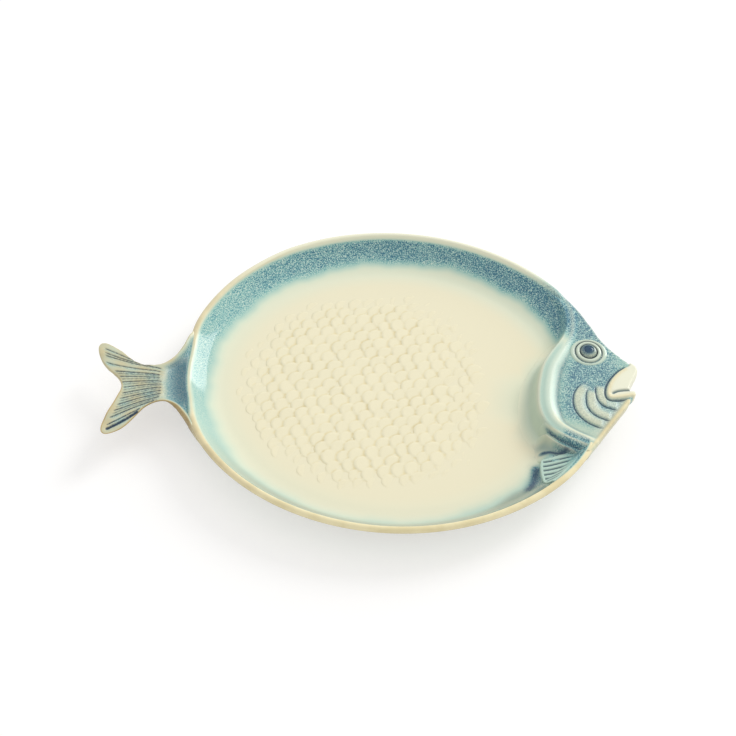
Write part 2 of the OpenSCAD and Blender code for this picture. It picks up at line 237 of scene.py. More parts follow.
def along(path, x, y):
    """Distance of places to the left of a path, and how far along it they lie."""
    near = np.full(len(x), 1e9)
    side = np.zeros(len(x))
    share = np.zeros(len(x))
    steps = np.hypot(*np.diff(path, axis=0).T)
    start = 0
    for (ax, ay), (bx, by), length in zip(path, path[1:], steps):
        dx, dy = (bx - ax) / length, (by - ay) / length
        run = np.clip((x - ax) * dx + (y - ay) * dy, 0, length)
        far = np.hypot(x - ax - dx * run, y - ay - dy * run)
        nearer = far < near
        near = np.where(nearer, far, near)
        side = np.where(nearer, np.sign(dx * (y - ay) - dy * (x - ax)) * far, side)
        share = np.where(nearer, (start + run) / steps.sum(), share)
        start += length
    return side, share


def places(piece):
    """Where each point of a piece is."""
    spots = np.empty(3 * len(piece.data.vertices))
    piece.data.vertices.foreach_get("co", spots)
    return spots.reshape(-1, 3)


def shape(piece, spots):
    """Moves each point of a piece to a new place."""
    piece.data.vertices.foreach_set("co", spots.ravel())
    piece.data.update()


glaze_layers = ("blue", "pool", "pale", "tan", "gold")


def glaze(piece, **layers):
    """How thick each layer of the glaze lies at each point of a piece."""
    for name in glaze_layers:
        layer = piece.data.attributes.new(name, "FLOAT", "POINT")
        share = np.clip(np.broadcast_to(layers.get(name, 0), len(piece.data.vertices)), 0, 1)
        layer.data.foreach_set("value", np.ascontiguousarray(share, np.float32))


def maths(tree, operation, first, second):
    """One sum on two values."""
    return put(tree, "Math", {0: first, 1: second}, operation=operation).outputs[0]


def wash_value(tree, share, first, second):
    """One value that gives way to another by a share."""
    inputs = {0: share, 2: first, 3: second}
    return put(tree, "Mix", inputs, data_type="FLOAT", clamp_factor=True).outputs[0]


coat = bpy.data.node_groups.new("running_glaze", "ShaderNodeTree")
for name in glaze_layers:
    coat.interface.new_socket(name.capitalize(), in_out="INPUT", socket_type="NodeSocketFloat")
coat.interface.new_socket("Place", in_out="INPUT", socket_type="NodeSocketVector")
coat.interface.new_socket("Colour", in_out="OUTPUT", socket_type="NodeSocketColor")
coat.interface.new_socket("Height", in_out="OUTPUT", socket_type="NodeSocketFloat")
coat_in = coat.nodes.new("NodeGroupInput").outputs
coat_out = coat.nodes.new("NodeGroupOutput").inputs
run_down = {0: coat_in["Place"], 1: (1, 1, 0.55)}
drawn_out = put(coat, "VectorMath", run_down, operation="MULTIPLY").outputs[0]
fleck = noise(coat, drawn_out, 1.6, 1)
cloud = noise(coat, coat_in["Place"], 0.07, 3, 0.6)
mottle = maths(coat, "ADD", maths(coat, "MULTIPLY", fleck, 2.8), maths(coat, "MULTIPLY", cloud, 0.4))
mottle = maths(coat, "ADD", mottle, -0.62)
flecked = wash_value(coat, rise(coat, coat_in["Blue"], 0.4, 0.75), 1.0, mottle)
depth = maths(coat, "MULTIPLY", coat_in["Blue"], flecked)
ramp = put(coat, "ValToRGB", {"Fac": depth})
stops = [(0.0, tint(240, 233, 202)), (0.14, tint(234, 235, 208)), (0.28, tint(222, 232, 208)),
         (0.44, tint(194, 219, 202)), (0.6, tint(154, 200, 191)), (0.76, tint(114, 172, 174)),
         (0.9, tint(84, 145, 158)), (1.0, tint(55, 109, 136))]
while len(ramp.color_ramp.elements) < len(stops):
    ramp.color_ramp.elements.new(0.5)
for element, (at, shade) in zip(ramp.color_ramp.elements, stops):
    element.position = at
    element.color = shade
crystals = rise(coat, fleck, 0.5, 0.36, 0, 0.45)
crystals = maths(coat, "MULTIPLY", crystals, rise(coat, coat_in["Blue"], 0.4, 0.8))
skin = wash(coat, crystals, ramp.outputs["Color"], tint(192, 220, 220))
broken = maths(coat, "MULTIPLY", coat_in["Pale"], rise(coat, fleck, 0.3, 0.6, 0.9, 1.0))
skin = wash(coat, broken, skin, tint(242, 243, 220))
uneven = rise(coat, cloud, 0.35, 0.65)
light_tan = wash(coat, uneven, tint(246, 233, 186), tint(234, 219, 168))
skin = wash(coat, coat_in["Tan"], skin, light_tan)
deep_tan = wash(coat, uneven, tint(200, 168, 102), tint(176, 146, 86))
skin = wash(coat, coat_in["Gold"], skin, deep_tan)
pooled = maths(coat, "MULTIPLY", coat_in["Pool"], rise(coat, fleck, 0.35, 0.65, 1.0, 0.85))
skin = wash(coat, pooled, skin, tint(14, 56, 88))
coat.links.new(skin, coat_out["Colour"])
coat.links.new(mottle, coat_out["Height"])


def glazed(name, roughness):
    """The glaze as a finish, glossy or satin."""
    finish, tree, shader, place = new_finish(name)
    coated = tree.nodes.new("ShaderNodeGroup")
    coated.node_tree = coat
    for layer in glaze_layers:
        thick = put(tree, "Attribute", attribute_name=layer).outputs["Fac"]
        tree.links.new(thick, coated.inputs[layer.capitalize()])
    tree.links.new(place, coated.inputs["Place"])
    dress(tree, shader, coated.outputs["Colour"], coated.outputs["Height"], 0.015, 0.0002, roughness)
    return finish


gill_crest = smooth_path([
    (112.5, 79), (117.5, 71.5), (120.5, 65), (122, 57), (122, 48), (120.5, 38), (117.3, 29),
    (112.5, 19.5), (107, 9.5), (102.6, 0), (99.5, -11), (97.4, -22), (96.4, -33), (97.3, -42),
    (100.4, -49.5), (105.6, -55.5), (111.7, -60.5), (118.5, -64.8), (124.5, -68)])
fin_end = smooth_path([(87, -71), (84.8, -77), (82.8, -86), (79.8, -94), (73, -102), (62, -111)])
fin_back = smooth_path([(86, -64.5), (91, -67.2), (97, -69.4), (108, -70.4)])
# How much higher the blue climbs on to the lip, at each turn round the rim from the mouth.
climb_round = [(0, 0.2), (60, -0.3), (110, -0.3), (130, 0.4), (165, 0.6), (180, 1.0), (200, 0.2),
               (310, 0.2), (317, 1.6), (322, 2.2), (328, 2), (334, 0.2), (360, 0.2)]
# How thick the blue lies on the wall at each turn, and how far out it starts.
coat_round = [(0, 0.95, 122), (20, 0.95, 121), (35, 0.97, 121.5), (60, 0.88, 123), (90, 0.85, 121),
              (120, 0.78, 119.5), (150, 0.67, 118), (180, 0.59, 118), (190, 0.55, 119),
              (200, 0.52, 120), (215, 0.48, 121), (240, 0.44, 121), (270, 0.42, 120),
              (290, 0.46, 118), (305, 0.54, 116), (320, 0.8, 116), (360, 0.95, 119)]
# How tan the lip is at each turn: pale on the far side, tan on the near one.
tan_round = [(0, 0.1), (90, 0.12), (130, 0.25), (160, 0.6), (200, 0.7), (240, 0.9), (330, 0.9), (360, 0.1)]
# How far the wall leans out and down at each turn to lower the lip beside the tail, in degrees.
lean_round = [(118, 0), (129, 1.6), (138, 2.4), (146, 3.5), (154, 4.3), (158, 5), (161, 6.5), (164, 9.5),
              (167, 12.3), (171, 13.5), (188, 13.5), (192, 10.5), (197, 6), (203, 3), (210, 1), (216, 0)]


def wall_coat(x, y):
    """How thick the blue lies on the dish's upper face: a breath on the floor, thick on the far wall."""
    out = np.hypot(x, y)
    turn = np.degrees(np.arctan2(y, x)) % 360
    ragged = 0.8 * np.sin(0.21 * turn) + 0.5 * np.sin(0.47 * turn + 1) + 0.25 * np.sin(1.1 * turn + 2)
    start = read_off(turn, coat_round, 2) + ragged
    wall = 0.24 * ease(97, 116, out) + 0.72 * ease(-7, 6.5, out - start)
    thinned = 0.75 - 0.55 * ease(50, 32, turn)
    on_lip = ease(133.6, 136.4, out - read_off(turn, climb_round))
    wall = wall * read_off(turn, coat_round) * (1 - thinned * on_lip)
    # Along the gill cover's foot the floor gets thin blue glaze, laid thicker there as part of the roll's
    # painted shadow.
    side, share = along(gill_crest, x, y)
    return np.maximum(wall, 0.45 * (1 - ease(7, 24, -side)) * ease(0.3, 0.5, share))


def gill_shade(x, y):
    """Painted shadow of the gill cover's roll: a dull olive band on the floor along its foot."""
    side, share = along(gill_crest, x, y)
    return (1 - ease(6, 20, -side)) * (side < -5) * between(0.35, 0.55, 0.8, 0.92, share)


def fin_pools_and_shade(x, y):
    """Dark glaze that gathers along the breast fin's free end and behind its back edge, deepened as painted
    shade under the free end and along the lip corner beyond it.
    """
    side, share = along(fin_end, x, y)
    pools = bell(side, 3.4) * between(0, 0.15, 0.75, 1, share) * (1 - 0.6 * ease(0.55, 0.7, share))
    side, share = along(fin_back, x, y)
    return np.maximum(pools, bell(side, 1.7) * between(0, 0.2, 0.8, 1, share))


floor_top = [(out, floor_up) for out in (0, 30, 60, 85, 96, 100, 104, 107)]
inside = arc(wall_r - half_wall, 270, 270 + sweep, 24)
lip = arc(half_wall, 90 + sweep, sweep - 90, 20, middle=(lip_out, lip_up))
outside = arc(wall_r + 0.6 * half_wall, 270 + sweep, 270, 14)
underside = [(out, floor_under) for out in (100, 60, 0)]
dish = turned("dish", floor_top + inside + lip[1:-1] + outside + underside, 300)
spots = places(dish)
x, y, up = spots.T
out = np.hypot(x, y)
turn = np.degrees(np.arctan2(y, x))
round_turn = turn % 360
tailward = np.abs(round_turn - 180)
upper = up > dish_core(out) - 0.3

# The glaze is thick on the far wall, thin and tan on the near lip, and pools beside the fin. Shade is
# painted along the near wall's inner edge, beside the fin and at the gill cover's foot.
lip_over = ease(134.6, 136.2, out - read_off(round_turn, climb_round)) * upper
lip_under = (1 - upper) * ease(133.5, 136, out) * ease(16, 20, up)
edge = (lip_over + lip_under) * (1 - 0.9 * ease(48, 30, turn) * ease(0, 20, turn))
near_side = between(195, 240, 310, 320, round_turn)
# Painted shade: a dark olive line along the near wall's inner edge under the lip, widening into a band
# along the lip left of the breast fin.
painted_shade = ease(121, 129, out + 5 * bell(round_turn - 304, 7)) * near_side * upper * (1 - edge)
# Dark glaze pooled by the breast fin, with painted shade under its free end and along the lip.
fin_pool_shade = fin_pools_and_shade(x, y) * upper
# Painted shadow of the gill cover on the floor at its foot.
gill_foot_shadow = gill_shade(x, y) * upper
at_tail = 1 - ease(11, 19, tailward)
by_tail = (1 - ease(12, 18, tailward)) * ease(136.8, 138.2, out)
edge = edge * (1 - 0.9 * by_tail) * (1 - 0.5 * at_tail)
grey = 0.05 * near_side * ease(106, 118, out) * upper * (1 - edge)
far_line = bell(out - 135.8, 0.5) * upper * between(112, 125, 150, 165, turn)
blue = np.maximum(wall_coat(x, y), fin_pool_shade) * upper
blue = most(blue, 0.62 * by_tail, 0.4 * at_tail * ease(132, 136, out) * upper)
glaze(dish,
      blue=blue + 0.5 * (1 - upper) * ease(6, 15, up),
      pool=most(0.8 * fin_pool_shade, 0.06 * gill_foot_shadow, 0.3 * painted_shade, grey),
      pale=edge,
      tan=edge * read_off(round_turn, tan_round),
      gold=most(0.3 * edge * (1 - ease(30, 60, tailward)), grey, 0.28 * gill_foot_shadow, 0.34 * painted_shade,
                0.25 * far_line))

# The lip is lowered beside the tail, and sinks into the wall where the head sits in its notch.
past_bend = out > bend_out + 1
on_wall = ease(118, 132, out)
reach, fall = out - bend_out, up - bend_up
slope = np.degrees(np.arctan2(reach, -fall))
lean = np.radians(read_off(round_turn, lean_round) * ease(20, 52, slope) * past_bend)
leaned_out = bend_out + reach * np.cos(lean) + fall * np.sin(lean)
leaned_out = leaned_out + 0.7 * bell(round_turn - 318, 12) * on_wall
spots[:, 2] = bend_up + fall * np.cos(lean) - reach * np.sin(lean)
at_head = 1 - np.clip(ease(15, 35, turn) + 1 - ease(-30.5, -25, turn), 0, 1)
sunk = at_head * on_wall * (up > 12)
spots[:, 2] -= 6 * sunk
spots[:, :2] *= ((np.where(past_bend, leaned_out, out) - 3 * sunk) / np.maximum(out, 1))[:, None]
shape(dish, spots)
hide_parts("dish")
running_glaze = glazed("running_glaze", 0.08)
set_down(dish, running_glaze)

# Scales. Rows of low round scales on the floor, pressed into the soft clay, each with its free edge
# towards the tail and its root under the next one. The cream glaze softens their edges.
scale_w, scale_l, scale_thick = 6.7, 7.1, 3
row_step, next_row = (9.4, 1.0), (-3.0, 8.0)
field_x, field_y, field_r, field_end = -8, -3, 97, 60
lay_up = 10.85
rows_each_way = range(-16, 17)


def pick_faces(piece, wanted):
    """Selects the faces of a piece that are wanted, by their middles and normals."""
    bpy.ops.object.mode_set(mode="EDIT")
    bpy.ops.mesh.select_mode(type="FACE")
    bpy.ops.mesh.select_all(action="DESELECT")
    bpy.ops.object.mode_set(mode="OBJECT")
    middle = np.empty(3 * len(piece.data.polygons))
    normal = np.empty(3 * len(piece.data.polygons))
    piece.data.polygons.foreach_get("center", middle)
    piece.data.polygons.foreach_get("normal", normal)
    piece.data.polygons.foreach_set("select", wanted(middle.reshape(-1, 3), normal.reshape(-1, 3)))


def work_over(piece, kind, **settings):
    """Works a piece over with one of Blender's modifiers, and keeps the result."""
    tool = piece.modifiers.new("tool", kind)
    for key, value in settings.items():
        setattr(tool, key, value)
    bpy.ops.object.modifier_apply(modifier=tool.name)


bpy.ops.object.select_all(action="DESELECT")
bpy.ops.mesh.primitive_cylinder_add(vertices=28, radius=1, depth=scale_thick, location=(0, 0, -1.15))
scale = bpy.context.object
scale.scale = (scale_w, scale_l, 1)
bpy.ops.object.transform_apply(location=True, scale=True)
pick_faces(scale, lambda middle, normal: normal[:, 2] > 0.5)
bpy.ops.object.mode_set(mode="EDIT")
bpy.ops.mesh.bevel(offset=1.1, segments=3, affect="EDGES")
bpy.ops.object.mode_set(mode="OBJECT")
scale.data.transform(Matrix.Rotation(math.radians(12), 4, "Z"))
scale.data.transform(Matrix.Rotation(math.atan(0.07), 4, Vector((0.5, 0.87, 0))))

chance = random.Random(7)
copies = []
for row in rows_each_way:
    for k in rows_each_way:
        x = field_x + k * row_step[0] + row * next_row[0]
        y = field_y + k * row_step[1] + row * next_row[1]
        reach = math.hypot(x - field_x, y - field_y)
        if reach > field_r - scale_w or x > field_end:
            continue
        faint = 0.22 * float(ease(10, 58, x)) + 0.35 * float(ease(66, 90, reach))
        copy = scale.copy()
        copy.data = scale.data.copy()
        bpy.context.scene.collection.objects.link(copy)
        put_x = x + chance.uniform(-0.9, 0.9)
        put_y = y + chance.uniform(-0.9, 0.9)
        put_z = lay_up + chance.uniform(-0.1, 0.1) - faint
        twist = Matrix.Rotation(chance.uniform(-0.35, 0.35), 4, "Z")
        size = Matrix.Scale(chance.uniform(0.94, 1.06), 4)
        copy.data.transform(Matrix.Translation((put_x, put_y, put_z)) @ twist @ size)
        copies.append(copy)
bpy.data.objects.remove(scale)
bpy.ops.object.select_all(action="DESELECT")
for copy in copies:
    copy.select_set(True)
bpy.context.view_layer.objects.active = copies[0]
bpy.ops.object.join()
scale_field = bpy.context.object
scale_field.name = "scale_field"
work_over(scale_field, "REMESH", mode="VOXEL", voxel_size=0.66)
work_over(scale_field, "SMOOTH", factor=0.5, iterations=1)
pick_faces(scale_field, lambda middle, normal: (normal[:, 2] < -0.5) & (middle[:, 2] < 9.8))
bpy.ops.object.mode_set(mode="EDIT")
bpy.ops.mesh.dissolve_faces()
bpy.ops.object.mode_set(mode="OBJECT")

# A point that lies lower than those around it is in the line at a scale's foot.
spots = places(scale_field)
ends = np.empty(2 * len(scale_field.data.edges), int)
scale_field.data.edges.foreach_get("vertices", ends)
one, other = ends.reshape(-1, 2).T
count = np.bincount(ends, minlength=len(spots))
around = spots[:, 2]
for _ in range(7):
    from_one = np.bincount(one, around[other], len(spots))
    from_other = np.bincount(other, around[one], len(spots))
    around = (from_one + from_other) / count
sunk_line = ease(0, 0.15, around - spots[:, 2])
# The line at each scale's foot is tinted tan and olive: glaze gathered there, deepened as painted shade
# along the scales' stepped edges.
glaze(scale_field,
      blue=0.04 * sunk_line,
      pool=0.035 * sunk_line,
      tan=0.08 + 0.82 * sunk_line,
      gold=0.17 * sunk_line)
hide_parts("scale_field")
set_down(scale_field, glazed("satin_glaze", 0.28))

# Tail. A forked slab luted to the outside of the wall, with its rays scored into the soft clay and
# its edges wiped round. Glaze runs off its edges, and gathers in the hollow along the lip.
tail_thick, tail_up = 6, 24.6
tail_outline = smooth_path([
    (-121.5, 60.5), (-125, 55), (-128.8, 47), (-132.6, 38), (-136, 28.5), (-140, 20), (-145, 13.5),
    (-150, 10), (-155, 9), (-163, 10.5), (-170, 16), (-175, 22), (-180, 26.5), (-185, 30.3),
    (-188.5, 31), (-190.8, 28), (-190.5, 22), (-188.2, 14), (-184.7, 7.5), (-180.2, 2), (-176.7, -3),
    (-175.2, -8), (-175.4, -13), (-177.2, -18), (-180.2, -26), (-183.2, -33), (-185.2, -40),
    (-186.7, -46), (-186.6, -51), (-183.5, -53.4), (-177, -51.1), (-172, -47.1), (-167, -40.6),
    (-163, -34.6), (-160, -30.6), (-155, -26.7), (-150, -25), (-145, -25.7), (-140, -29.2),
    (-135.2, -37), (-130.9, -46.5), (-126.6, -54.6), (-121.8, -61.4), (-119.5, -59), (-125.5, -40),
    (-131, -15), (-132, 0), (-131, 15), (-126.5, 38), (-119.5, 57)])
points_in_wall = 7
free_edge = tail_outline[:-points_in_wall * path_steps]
# Each ray's depth, and its points from the root outwards.
rays = [
    (0.8, [(-149, 5.2), (-164, 9.0), (-178, 15), (-188, 20)]),
    (0.75, [(-149, 2.4), (-165, 5.4), (-180, 10), (-187, 13.5)]),
    (1, [(-150, -0.4), (-165, 1.8), (-181, 4.3)]),
    (0.8, [(-150, -3.2), (-164, -2), (-178, -1)]),
    (1, [(-149, -6), (-163, -6.2), (-176, -6.5)]),
    (0.85, [(-149, -8.8), (-162, -10), (-175, -11.5)]),
    (1, [(-149, -11.6), (-161, -13.8), (-175.5, -17)]),
    (0.9, [(-149, -14.4), (-162, -17.8), (-177, -22)]),
    (1, [(-149, -17.2), (-163, -21.6), (-178.5, -27.5)]),
    (0.95, [(-150, -20.2), (-164, -25.6), (-180.5, -33)]),
    (1, [(-153, -23.6), (-167, -30.4), (-182.5, -39)]),
    (1, [(-162, -30.5), (-172, -37.4), (-184, -45.5)]),
    (1.6, [(-163.6, -33.3), (-168.5, -37.8), (-175, -43), (-184.5, -49.4)]),
    (0.75, [(-156, 7.6), (-170, 12.8), (-180, 18), (-188, 22.6)]),
    (0.7, [(-164, 11.5), (-172, 16), (-181, 22), (-188, 26.4)])]
for (_, one), (_, other) in zip(rays[2:10], rays[3:11]):
    halfway = [((ax + bx) / 2, (ay + by) / 2) for (ax, ay), (bx, by) in zip(one, other)]
    rays.append((0.5, halfway))


def clay_slab(name, outline, thick, grain, passes, cuts=1):
    """A slab of clay cut to an outline, with its edges worked round: a disc drawn out to the outline."""
    bpy.ops.object.select_all(action="DESELECT")
    bpy.ops.mesh.primitive_circle_add(vertices=len(outline), radius=1, fill_type="NGON")
    piece = bpy.context.object
    piece.name = name
    for point, (x, y) in zip(piece.data.vertices, outline):
        point.co = (x, y, 0)
    bpy.ops.object.mode_set(mode="EDIT")
    bpy.ops.mesh.select_all(action="SELECT")
    bpy.ops.mesh.extrude_region_move(TRANSFORM_OT_translate={"value": (0, 0, thick)})
    bpy.ops.mesh.select_all(action="SELECT")
    bpy.ops.mesh.normals_make_consistent(inside=False)
    bpy.ops.object.mode_set(mode="OBJECT")
    work_over(piece, "REMESH", mode="VOXEL", voxel_size=grain)
    work_over(piece, "SMOOTH", factor=0.5, iterations=passes)
    pick_faces(piece, lambda middle, normal: normal[:, 2] > 0.3)
    bpy.ops.object.mode_set(mode="EDIT")
    bpy.ops.mesh.subdivide(number_cuts=cuts)
    bpy.ops.object.mode_set(mode="OBJECT")
    return piece


def slab_places(piece, thick):
    """Where each point of a slab is, in plan too, and its level from the underside to the top."""
    spots = places(piece)
    return spots, spots[:, 0], spots[:, 1], np.clip(spots[:, 2] / thick, 0, 1)


tail_fin = clay_slab("tail_fin", tail_outline, tail_thick, grain=0.9, passes=6, cuts=2)
spots, x, y, level = slab_places(tail_fin, tail_thick)
out = np.hypot(x, y)
groove = np.zeros(len(x))
painted_shade = np.zeros(len(x))
# Each ray groove gets a bluer band down one side, painted as its shaded side.
for depth, points in rays:
    side, share = along(smooth_path(points), x, y)
    width = 0.42 if depth < 1.2 else 0.9
    groove = np.maximum(groove, depth * bell(side, width) * between(0, 0.06, 0.9, 1, share))
    painted_shade = np.maximum(painted_shade, depth * bell(side - 0.9, 1.1) * (1 - ease(0.9, 1, share)))
margin = np.abs(along(free_edge, x, y)[0])
hollow = (1 - ease(137, 155, out)) * ease(0.6, 5.5, margin)
ridge = bell(np.hypot(x + 118, y + 9.5) - 32.5, 1.8) * ease(2, 5, margin)
by_wall = x > -142
off_middle = np.abs(y + 3)
top = tail_up - 0.9 * groove - 4.8 * hollow + 0.2 * ridge - 0.8 * ease(155, 190, -x)
top = top - (2.6 * ease(38, 50, off_middle) + 3.6 * ease(46, 57, off_middle)) * by_wall
top = top - 4 * (1 - ease(131.5, 134.8, out))
base = 14.5 + 7.2 * ease(137, 150, out)
spots[:, 2] = base + (top - base) * level
spots[:, 1] += 2.5 * (1 - level) * ease(-6, -14, y)
shape(tail_fin, spots)

# Its glaze: dark in the rays and in the hollow by the lip, tan where it runs off the edge, with painted
# shade in a bluer band down one side of each ray.
off_middle = np.abs(y + 3)
flare = ease(38, 50, off_middle) * by_wall
edge = np.maximum(1 - ease(0.5, 0.95, level), 1 - ease(0.4, 1.8, margin)) * ease(134, 137, out)
low_edge = 0.55 + 0.45 * (1 - ease(-30, 10, y))
deep = (1 - ease(144, 151, -x)) * ease(1, 4, margin)
lobes = 1 - deep
gathered = deep * (0.3 + 0.42 * (1 - ease(138.5, 149, out)))
gathered = gathered * (1 - 0.6 * ease(12, 30, off_middle)) * (1 - flare)
cloudy = 0.5 + 0.5 * np.sin(0.31 * x + 0.17 * y) * np.sin(0.23 * y - 0.11 * x + 1)
scratchy = 0.72 + 0.28 * np.sin(1.9 * x + 3 * np.sin(0.7 * y)) * np.sin(1.1 * y + 0.4 * x)
glaze(tail_fin,
      blue=(0.4 + 0.28 * deep + 0.34 * painted_shade * lobes) * (1 - flare),
      pool=np.maximum(ease(0.08, 0.55, groove * scratchy), gathered),
      pale=np.maximum(0.12 * (1 - hollow) + 0.25 * ridge, 0.6 * flare),
      tan=most(0.4 * edge, 0.6 * flare, 0.4 * cloudy * lobes),
      gold=most(0.85 * edge * low_edge * (1 - 0.85 * flare), 0.12 * flare,
                (0.26 + 0.26 * cloudy) * lobes * (1 - 0.5 * painted_shade) * (1 - flare)))
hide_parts("tail_fin", "tail_ridge")
soft_glaze = glazed("soft_glaze", 0.3)
set_down(tail_fin, soft_glaze)

# Head. One slab let into a notch in the wall: forehead, cheek with three folds, lips and chin, with
# the fat roll of the gill cover and its flap running down on to the floor. Modelled in soft clay.
head_thick, face_up = 6, 24.5
head_outline = smooth_path([
    (112, 80), (115, 78), (121.2, 69.3), (127.2, 58.5), (131.4, 48), (135, 38.5), (138, 29.5),
    (142, 21.5), (147.3, 13.5), (152.3, 7), (156.6, 1.7), (158.6, -0.8), (158.5, -3.5), (155.7, -9.5),
    (152.3, -15.5), (150.8, -19.5), (150.7, -21.8), (152.6, -22.2), (154.3, -24), (153.6, -27),
    (150.3, -30.5), (147.6, -35.6), (140.1, -45.9), (131.1, -58.3), (124.8, -67.2), (119.1, -74.4),
    (112.4, -80), (108.5, -82), (103, -80.5), (96, -77), (88, -72), (81, -63), (78, -50),
    (77.5, -35), (79, -20), (82, -6), (87, 6), (93, 16), (99, 27), (103, 38), (107, 48),
    (109.5, 58), (110, 68), (109, 76), (112, 80)])[:-1]
brow_edge = head_outline[6:62]
# The gill cover's section: how much of its height it has at each distance towards the well.
roll_side = smooth_path([
    (-12, 0), (-9.6, 0), (-7.7, 0), (-6.1, 0.05), (-4.5, 0.27), (-3, 0.62), (-1.5, 0.91), (0, 1),
    (1.7, 0.9), (3.2, 0.64), (4.6, 0.46), (5.6, 0.4), (6.2, 0.32)], 8)
# How far its side has fallen at each distance past the end of that section.
fall_side = smooth_path([
    (0, 0), (0.6, 0.7), (1.3, 2.2), (2.2, 5), (3.2, 8.2), (4.2, 10.8), (5.4, 12.5), (7, 13.4),
    (9.5, 14), (12, 14.5)], 8)
roll_end = 6.2
ridge_path = smooth_path([
    (90, -41), (91.2, -46.2), (93, -50.4), (95.4, -54), (98.2, -56.7), (101.8, -59.6), (106.6, -63.2),
    (111.5, -66.4), (117, -69.6), (122, -72)])
crease_path = smooth_path([
    (90.3, -49), (92.3, -52), (95, -55.8), (98, -59), (101, -61.8), (106, -65.8), (111, -69),
    (117, -71.8)])
flap_path = smooth_path([
    (88.8, -50.5), (91, -55.4), (94.4, -60.2), (97.4, -63.6), (100.5, -66.4), (105, -69.6), (112, -73)])
chin_path = smooth_path([
    (111, -81.2), (115.6, -76), (119.7, -71), (123.8, -66), (129.9, -57.6), (138.9, -45.1),
    (146.4, -34.8), (149.7, -29.6)])
fold_paths = [smooth_path(points) for points in (
    [(122.5, -11.5), (117, -18), (114, -24), (112.7, -31), (113.2, -38), (115.8, -44.5),
     (120.5, -50.2), (126, -54), (130, -55.4)],
    [(124.5, -17.5), (122.4, -23), (121.4, -29), (121.4, -35), (123.4, -40.5), (127, -44.6),
     (132, -47.6), (135.4, -48.6)],
    [(129.8, -14.5), (128.6, -20), (128.4, -27), (129.8, -32), (133, -35.6), (138, -38), (141, -38.8)])]
mouth_path = smooth_path([
    (152.5, 1.8), (148.5, -0.7), (144, -4.5), (140, -9.5), (136.7, -15), (134.8, -20.5), (134.2, -25),
    (135, -28.6), (137.5, -30.3), (142, -30.2), (147, -29.5), (151, -28.7)])
slit_path = smooth_path([(137.5, -25.8), (141, -23.4), (145, -22.3), (152, -21.9)])


def soft_max(first, second, soft):
    """The higher of two faces, with a fillet where they cross."""
    share = np.clip(0.5 + 0.5 * (first - second) / soft, 0, 1)
    return second + (first - second) * share + soft * share * (1 - share)


def face_relief(x, y):
    """Folds, lips and mouth: their height over the cheek, the lines cut there, and what stands up."""
    relief = np.zeros(len(x))
    creased = np.zeros(len(x))
    raised = np.zeros(len(x))
    for path in fold_paths:
        side, share = along(path, x, y)
        taper = between(0, 0.18, 0.9, 1, share)
        body = between(-0.2, 1.8, 3.6, 9.4, side) * taper
        line = bell(side + 0.1, 0.42) * taper
        relief += 0.85 * body - 0.5 * line
        creased = np.maximum(creased, line)
        raised = np.maximum(raised, 0.38 * body)
    side, share = along(mouth_path, x, y)
    lips = ease(0, 2.4, side) * (1 - ease(16, 19, np.abs(side)))
    line = bell(side, 0.62) * ease(0, 0.08, share) * (1 - 0.6 * ease(0.85, 1, share))
    lip_edge = bell(side - 2.6, 1.5) * (share > 0.05)
    side, share = along(slit_path, x, y)
    slit = bell(side, 0.9) * ease(0, 0.2, share)
    relief += 1.8 * lips - 0.7 * line - 1.3 * slit
    creased = most(creased, line, 0.7 * slit)
    raised = np.maximum(raised, lips * (1 - 0.7 * slit))
    return relief, creased, raised, lip_edge


head = clay_slab("head", head_outline, head_thick, grain=1.0, passes=6, cuts=2)
spots, x, y, level = slab_places(head, head_thick)
out = np.hypot(x, y)
side, share = along(gill_crest, x, y)
ridge_side, ridge_share = along(ridge_path, x, y)
crease_side, crease_share = along(crease_path, x, y)
flap_side, flap_share = along(flap_path, x, y)
chin_side, chin_share = along(chin_path, x, y)
relief, creased, raised, lip_edge = face_relief(x, y)

# Its height: the gill cover's roll with the folds and lips, then chin, ridge, flap and crease.
narrowed = np.where(side < 0, 1 - 0.35 * ease(0.88, 1, share), 1 - 0.42 * ease(0.75, 0.85, share))
width = (0.55 + 0.45 * ease(0.26, 0.5, share)) * narrowed
across = -side / width
cheek = ease(4, 8, side / width)
crest_h = 0.3 + 2.0 * ease(0.26, 0.52, share) - 0.5 * ease(0.75, 0.9, share) - 0.9 * ease(0.93, 1, share)
crest_h = crest_h - 3 * (1 - ease(0, 0.08, share))
top = face_up + crest_h * read_off(across, roll_side)
top = np.where(side < 0, top - read_off(-side - roll_end * width, fall_side), top)
top = top + relief * cheek
chin_top = 26.05 - 0.25 * chin_side ** 2 - 3.5 * (1 - ease(0, 0.1, chin_share))
top = soft_max(top, np.where(np.abs(chin_side) < 4, chin_top, 0), 0.7)
ridge_ends = 14 * (1 - ease(0, 0.2, ridge_share)) + 3 * ease(0.85, 1, ridge_share)
ridge_top = 24.7 - 0.8 * ridge_side ** 2 - ridge_ends
top = soft_max(top, np.where(np.abs(ridge_side) < 5, ridge_top, 0), 0.7)
step_up = 8.5 + 4.0 * ease(-1, 2.5, flap_side) * ease(0, 0.25, flap_share)
shelf = 9 + step_up * ease(82, 95, x) * ease(10.5, 7, flap_side)
flap_top = shelf + (22.5 - shelf) * bell(flap_side, 1.6) * between(0, 0.28, 0.8, 1, flap_share)
top = soft_max(top, flap_top, 0.7)
crease = bell(crease_side, 0.8) * between(0.02, 0.2, 0.85, 1, crease_share)
top = top - 0.8 * crease
top = soft_max(top, dish_top(np.minimum(out, 134.5)) - 0.35, 1.2)
base = np.minimum(dish_core(out), 18.5)
drawn_in = 1.2 * (1 - level) * (np.abs(chin_side) < 7) * ease(0.1, 0.2, chin_share)
spots[:, 2] = base + (top - base) * level
spots[:, 0] -= 0.79 * drawn_in
spots[:, 1] += 0.62 * drawn_in
shape(head, spots)
